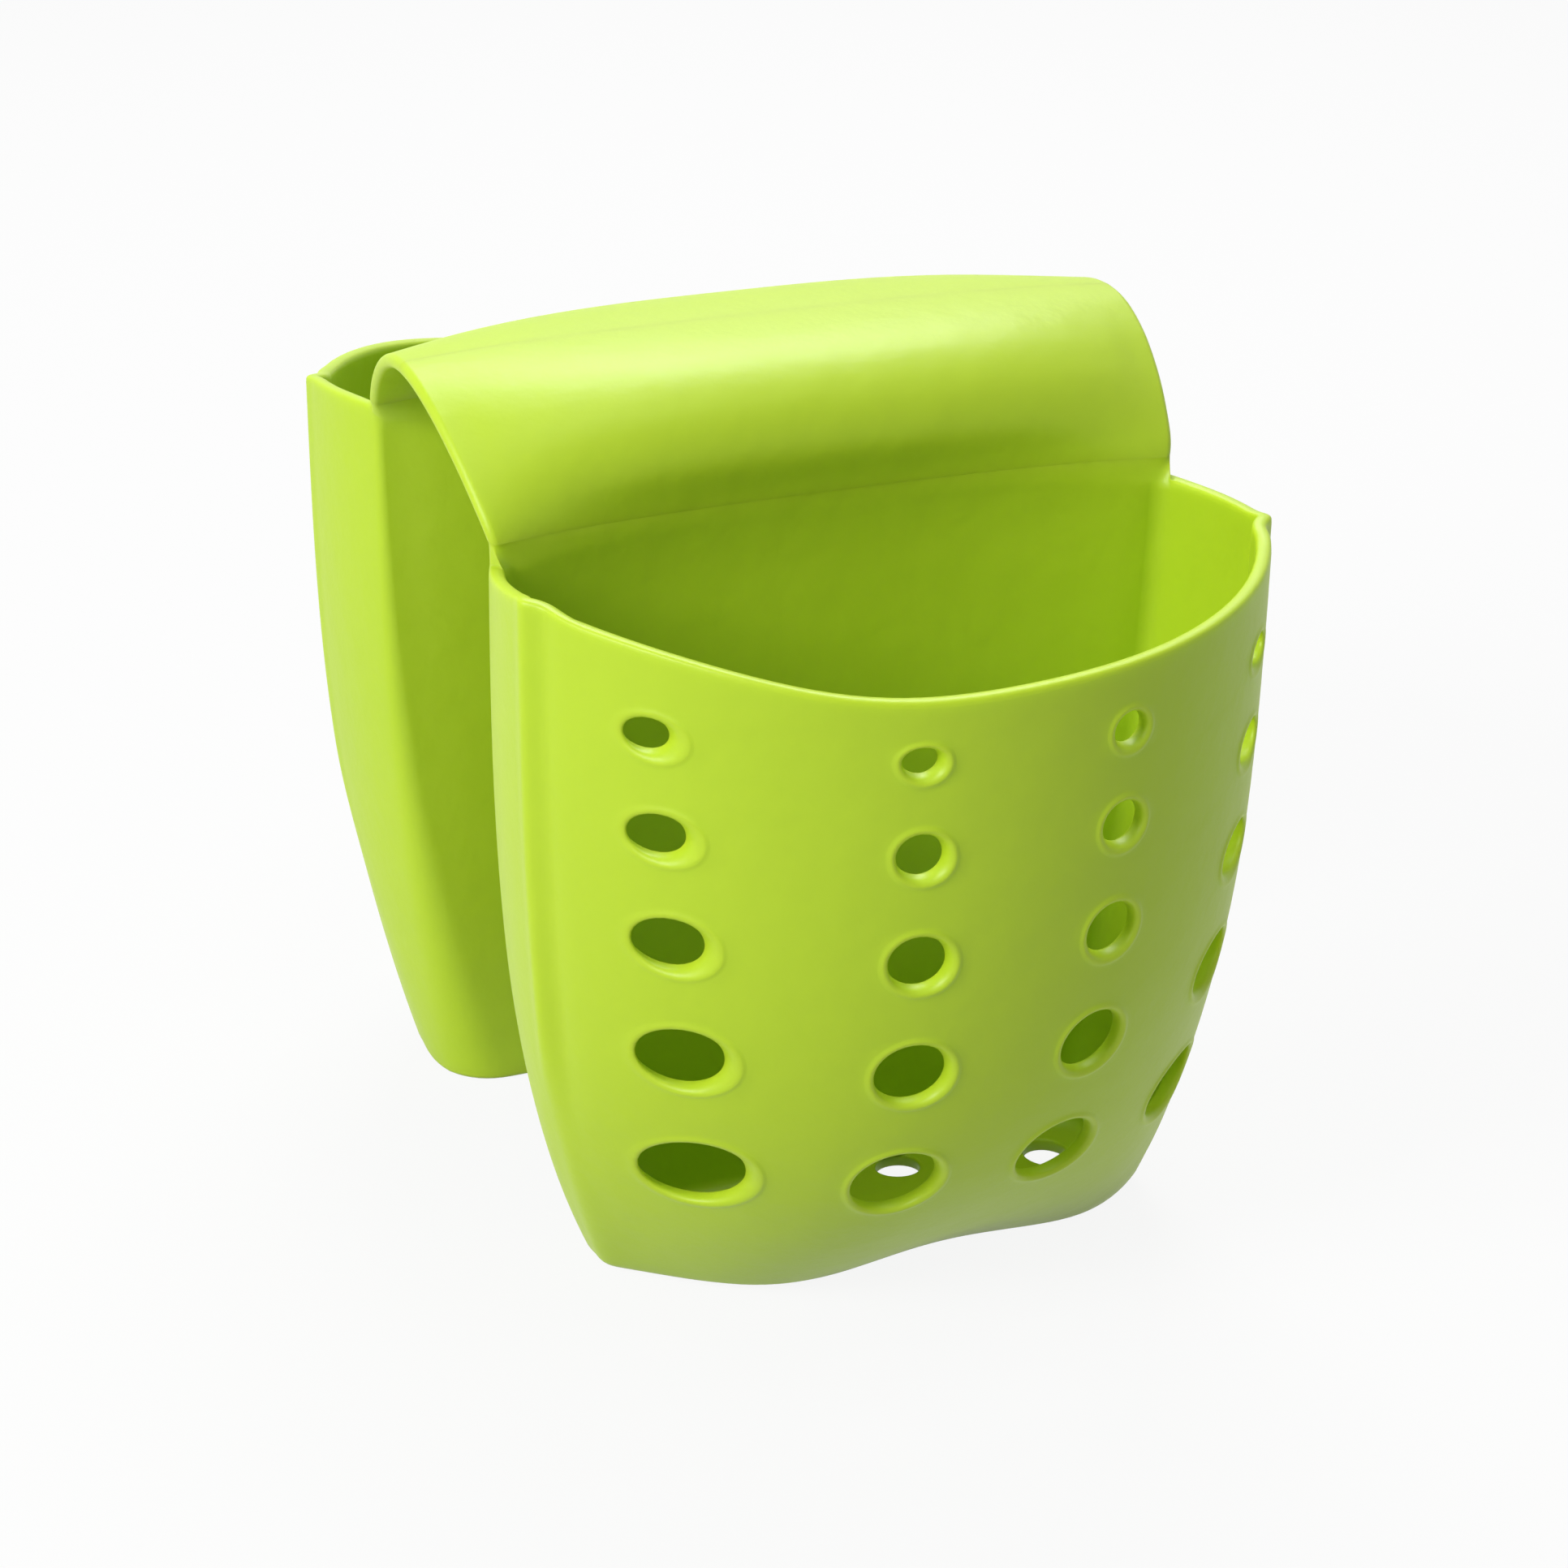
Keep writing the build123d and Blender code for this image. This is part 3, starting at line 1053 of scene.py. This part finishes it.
    def build(self, seam: Array) -> Object:
        """Build the pocket's mesh.

        Args:
            seam: Loop of the saddle sheet at the seam.

        Returns:
            The pocket's object.
        """
        plan, s = self.plan, self.sizes
        skin = Skin()
        columns = np.arange(plan.outer.shape[1])
        away = smooth_step((plan.corner_column - columns) / s.under_fade_columns)
        under_radii = s.under_radius_slot + (s.under_radius - s.under_radius_slot) * away
        inside_radii = np.full(len(columns), s.inside_radius)
        outer = self.face_rows(plan.outer, 0.0, under_radii, self.outer_steps)
        inner = self.face_rows(plan.inner, s.floor, inside_radii, self.inner_steps)
        for grid, first, last in (outer, inner):
            skin.patch(grid[:first + 1])
            skin.patch(grid[first:last + 1, plan.panel_steps:])
            skin.patch(grid[last:])
        self.panel_cells(skin, outer, inner)
        arch = self.rim_arch(outer[0][-1], inner[0][-1])
        skin.patch(arch[:, :plan.corner_column + 1])
        skin.patch(self.corner_web(arch, outer[0][-1], inner[0][-1], seam))
        skin.mirrored()

        def close_floor(work: BMesh) -> None:
            """Close the floor underneath and inside, and give the pocket its sway.

            Args:
                work: The joined mesh, in millimetres.
            """
            self.fill_floor(work, outer[0][0], 0.0)
            self.fill_floor(work, inner[0][0], s.floor)
            bmesh.ops.remove_doubles(work, verts=work.verts, dist=JOIN_DISTANCE)
            for vert in work.verts:
                vert.co = self.sway.moved(vert.co)

        return skin.mesh(self.side.word + "_pocket_shell", self.side, close_floor)


@dataclass
class SaddleHalf(Moulding):
    """Half of the soft saddle, from the seam over one slot wall to the top of the arch.

    Its outer face follows lines of (depth, height over the foot) at mid length and at the free end.
    """

    seam_height: float
    rise: float = 25.6
    flare: float = 5.4
    foot_height: float = 131.5
    seam_depth: float = 31.0
    bend_rise: float = 22.0
    middle_points: Points = (
        (29.1, 0.0), (29.35, 1.8), (29.75, 3.8), (30.25, 5.6), (30.6, 7.6), (30.1, 10.6), (28.8, 13.4),
        (27.0, 15.7), (24.3, 17.9), (20.8, 19.8), (16.2, 21.2), (11.0, 21.95), (5.5, 22.2), (0.0, 22.2)
    )
    end_points: Points = (
        (33.5, 0.0), (33.3, 1.2), (32.4, 2.9), (30.8, 4.8), (28.7, 6.9), (26.2, 9.3), (23.1, 11.8),
        (19.6, 14.2), (15.9, 16.4), (11.9, 18.2), (7.9, 19.6), (3.9, 20.4), (0.0, 20.6)
    )
    profile_steps: int = 160
    profile_calm: int = 40
    arch_steps: int = 40

    @property
    def cap_steps(self) -> int:
        """Steps round the free end, as many as the pocket's corner and rim have."""
        return 2 * self.plan.corner_steps + self.plan.rim_steps

    def profile(self, share: float) -> tuple[Array, Array]:
        """Outer and inner line of the arch at one place along the saddle.

        Args:
            share: Place from the middle, 0, to the free end, 1.

        Returns:
            Two lines in depth and height from the seam to the top.
        """
        end_share = share ** self.sizes.draw_power
        line = np.array([0.0, self.foot_height])
        for points, weight in ((self.middle_points, 1 - end_share), (self.end_points, end_share)):
            table = np.array(points)
            even = np.linspace(0.0, line_lengths(table)[-1], self.profile_steps + 1)
            line = line + weight * relaxed(at_lengths(table, even), self.profile_calm)
        normals = left_normals(line)
        normals[0], normals[-1] = (1.0, 0.0), (0.0, 1.0)
        facing = np.sign(normals.sum(axis=1, keepdims=True))
        inner = line - normals * np.where(facing == 0, 1.0, facing) * self.sizes.wall
        along = line_lengths(line)
        wanted = np.linspace(np.interp(self.seam_height, line[:, 1], along), along[-1], self.arch_steps + 1)
        return interpolated(wanted, along, line), interpolated(wanted, along, inner)

    def half_length(self, height: Array) -> Array:
        """Half length of the saddle at a height; it flares towards its top."""
        return self.sizes.back_half.top + self.flare * (height - self.sizes.rim_height) / self.rise

    def loops(self) -> Array:
        """Half loops round the sheet, from the slot side over the free end to the pocket side.

        Returns:
            One row for each step up the arch, in x, depth and height.
        """
        shares = np.linspace(0.0, 1.0, self.plan.slot_steps + 1)
        outer, inner = (np.stack(lines) for lines in zip(*map(self.profile, shares)))
        half_wall = self.sizes.wall / 2
        x = shares[:, None] * (self.half_length(outer[:, :, 1]) - half_wall)
        over, under = np.dstack([x, outer]), np.dstack([x, inner])
        middle, half = (under[-1] + over[-1]) / 2, (under[-1] - over[-1]) / 2
        cap = []
        for angle in np.linspace(0.0, math.pi, self.cap_steps + 1)[1:-1]:
            bulge = np.array([half_wall * math.sin(angle), 0.0, 0.0])
            cap.append(middle + half * math.cos(angle) + bulge)
        return np.concatenate([under, cap, over[::-1]]).swapaxes(0, 1)

    def build(self) -> Object:
        """Build this half of the saddle.

        Returns:
            The half saddle's object.
        """
        skin = Skin()
        skin.patch(self.loops())
        skin.mirrored()
        return skin.mesh(self.side.word + "_saddle_half", self.side)


# Floor, lights and camera


@dataclass
class Lamp:
    """One soft box."""

    name: str
    place: tuple[float, float, float]
    width: float
    watts: float

    def build(self, target: Vector) -> None:
        """Hang the lamp.

        Args:
            target: Point that it is turned to.
        """
        data = bpy.data.lights.new(self.name, "AREA")
        data.shape = "SQUARE"
        data.size = self.width
        data.energy = self.watts
        lamp = linked(self.name, data)
        lamp.location = Vector(self.place)
        lamp.rotation_euler = (target - lamp.location).to_track_quat("-Z", "Y").to_euler()


@dataclass
class Studio:
    """Pale floor, soft lamps and a white world."""

    floor_half: float = 3.0
    aim: tuple[float, float, float] = (0.0, 0.0, 0.07)
    world_strength: float = 0.31
    lamps: tuple[Lamp, ...] = (
        Lamp("key_softbox", (-1.05, -0.34, 0.75), 0.5, 14.5),
        Lamp("top_softbox", (0.3, 0.68, 1.05), 0.6, 10.0),
        Lamp("over_softbox", (0.05, -0.22, 1.3), 0.35, 2.0),
    )

    def build(self) -> None:
        """Make the floor, the lamps and the world."""
        half = self.floor_half
        data = bpy.data.meshes.new("floor")
        edges = [(-half, -half, 0.0), (half, -half, 0.0), (half, half, 0.0), (-half, half, 0.0)]
        data.from_pydata(edges, [], [(0, 1, 2, 3)])
        floor = linked("floor", data)
        floor.data.materials.append(PaleFloor().material())
        for lamp in self.lamps:
            lamp.build(Vector(self.aim))
        self.light_world()

    def light_world(self) -> None:
        """White world: seen as white, and a plain level of light."""
        bench = NodeBench(bpy.data.worlds.new("white_room"))
        white = Colour.WHITE.value
        sky = bench.add("Background", {}, {"Color": white, "Strength": self.world_strength})
        seen = bench.add("Background", {}, {"Color": white, "Strength": 1.0})
        shader = bench.add("MixShader", {}, {0: bench.background_share(), 1: sky, 2: seen})
        bpy.context.scene.world = bench.finish_with(shader)


@dataclass
class PhotoCamera:
    """Camera at the photograph's viewing angle."""

    azimuth: float = 22.78
    elevation: float = 24.71
    roll: float = 0.84
    focal_pixels: float = 4400.8
    distance: float = 0.641
    target: tuple[float, float, float] = (0.0041, 0.0, 0.06524)
    sensor: float = 36.0
    clip: tuple[float, float] = (0.01, 20.0)

    def build(self) -> None:
        """Make the camera and hand it to the scene."""
        turn, rise, roll = (math.radians(angle) for angle in (self.azimuth, self.elevation, self.roll))
        view = Matrix.Rotation(-turn, 4, "Z") @ Matrix.Rotation(math.pi / 2 - rise, 4, "X")
        view = view @ Matrix.Rotation(roll, 4, "Z")
        spot = Vector(self.target) + view.col[2].xyz * self.distance
        data = bpy.data.cameras.new("photo_camera")
        data.sensor_width = self.sensor
        data.lens = self.sensor * self.focal_pixels / PHOTO_PIXELS
        data.clip_start, data.clip_end = self.clip
        camera = linked("photo_camera", data)
        camera.matrix_world = Matrix.Translation(spot) @ view
        bpy.context.scene.camera = camera


def main() -> None:
    """Build the caddy's pieces in order, then the studio and the camera."""
    logging.basicConfig(level=logging.INFO, format="%(name)s: %(message)s")
    bpy.context.scene.view_settings.view_transform = "Standard"
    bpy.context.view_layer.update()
    sizes = PocketSizes()
    plan = PocketPlan(sizes)
    plastic = LimePlastic().material()
    rim_heights = {Side.FRONT: (-3.0, 2.0, -1.2), Side.BACK: (-4.5, 3.0, 5.4)}
    seam_heights = {Side.FRONT: 131.5, Side.BACK: 136.8}
    sways = {
        Side.FRONT: Sway(
            front_shift=1.6, foot_shift=3.6, foot_turn=0.038, foot_wave=3.8, rim_tip=1.6, dent=2.6
        ),
        Side.BACK: Sway(foot_shift=-1.8, dent=6.0, dent_place=0.0, dent_width=38.0, dent_span=(104.0, 123.0)),
    }
    for side in Side:
        half = SaddleHalf(side, plan, seam_heights[side])
        saddle = half.build()
        half.dress(saddle, plastic)
        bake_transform(saddle)
        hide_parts("saddle_crown")
        shell = Pocket(side, plan, *rim_heights[side], sways[side])
        pocket = shell.build(half.loops()[0])
        shell.dress(pocket, plastic)
        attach(pocket, side.word + "_pocket")
        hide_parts(*(side.word + "_" + node for node in ("slot_wall", "perforated_panel", "floor")))
        for piece in (saddle, pocket):
            LOG.info("%s: %d faces", piece.name, len(piece.data.polygons))
    Studio().build()
    PhotoCamera().build()
    LOG.info("studio and camera are set")


if __name__ == "__main__":
    main()
